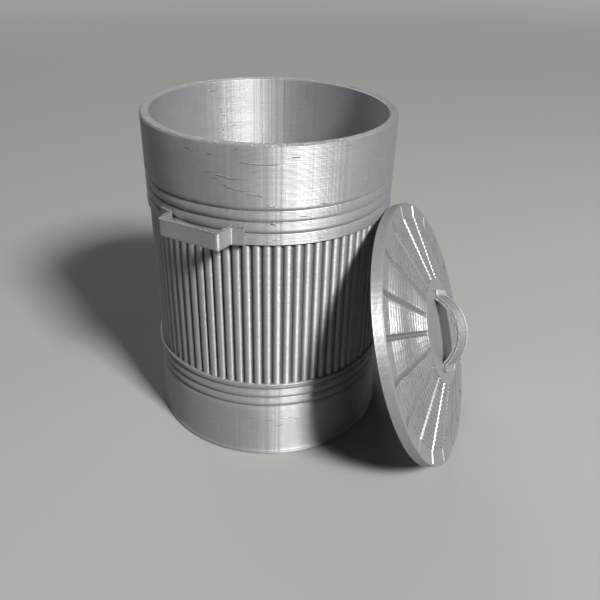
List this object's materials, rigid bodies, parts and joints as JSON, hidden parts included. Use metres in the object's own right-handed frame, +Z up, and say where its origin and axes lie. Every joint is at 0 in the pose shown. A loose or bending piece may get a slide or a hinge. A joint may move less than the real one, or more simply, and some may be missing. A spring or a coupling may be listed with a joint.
{
  "type": "desktop trash can",
  "caption": "Round desk-size trash can with a fluted middle, rounded ring bands, bracket handles at the sides and a loose lid with radial grooves that stands on its edge and leans on the can.",
  "frame": {"origin": "centre of the can's base, on the surface it stands on", "axes": "+Z up along the can's axis; the bracket handles face -Y and +Y; the loose lid leans on the can's +X side"},
  "size_m": [0.1161, 0.0914, 0.1079],
  "materials": {
    "silver_print": "satin silver with fine printed layers"
  },
  "bodies": {
    "can": {"can_body": "silver_print", "side_handle_front": "silver_print", "side_handle_rear": "silver_print"},
    "lid": {"lid_shell": "silver_print", "lid_handle": "silver_print"}
  },
  "joints": [
    {"name": "lid_lift", "type": "slide", "parent": "can", "child": "lid", "axis": [0, 0, 1], "range_m": [0, 0.12]}
  ]
}
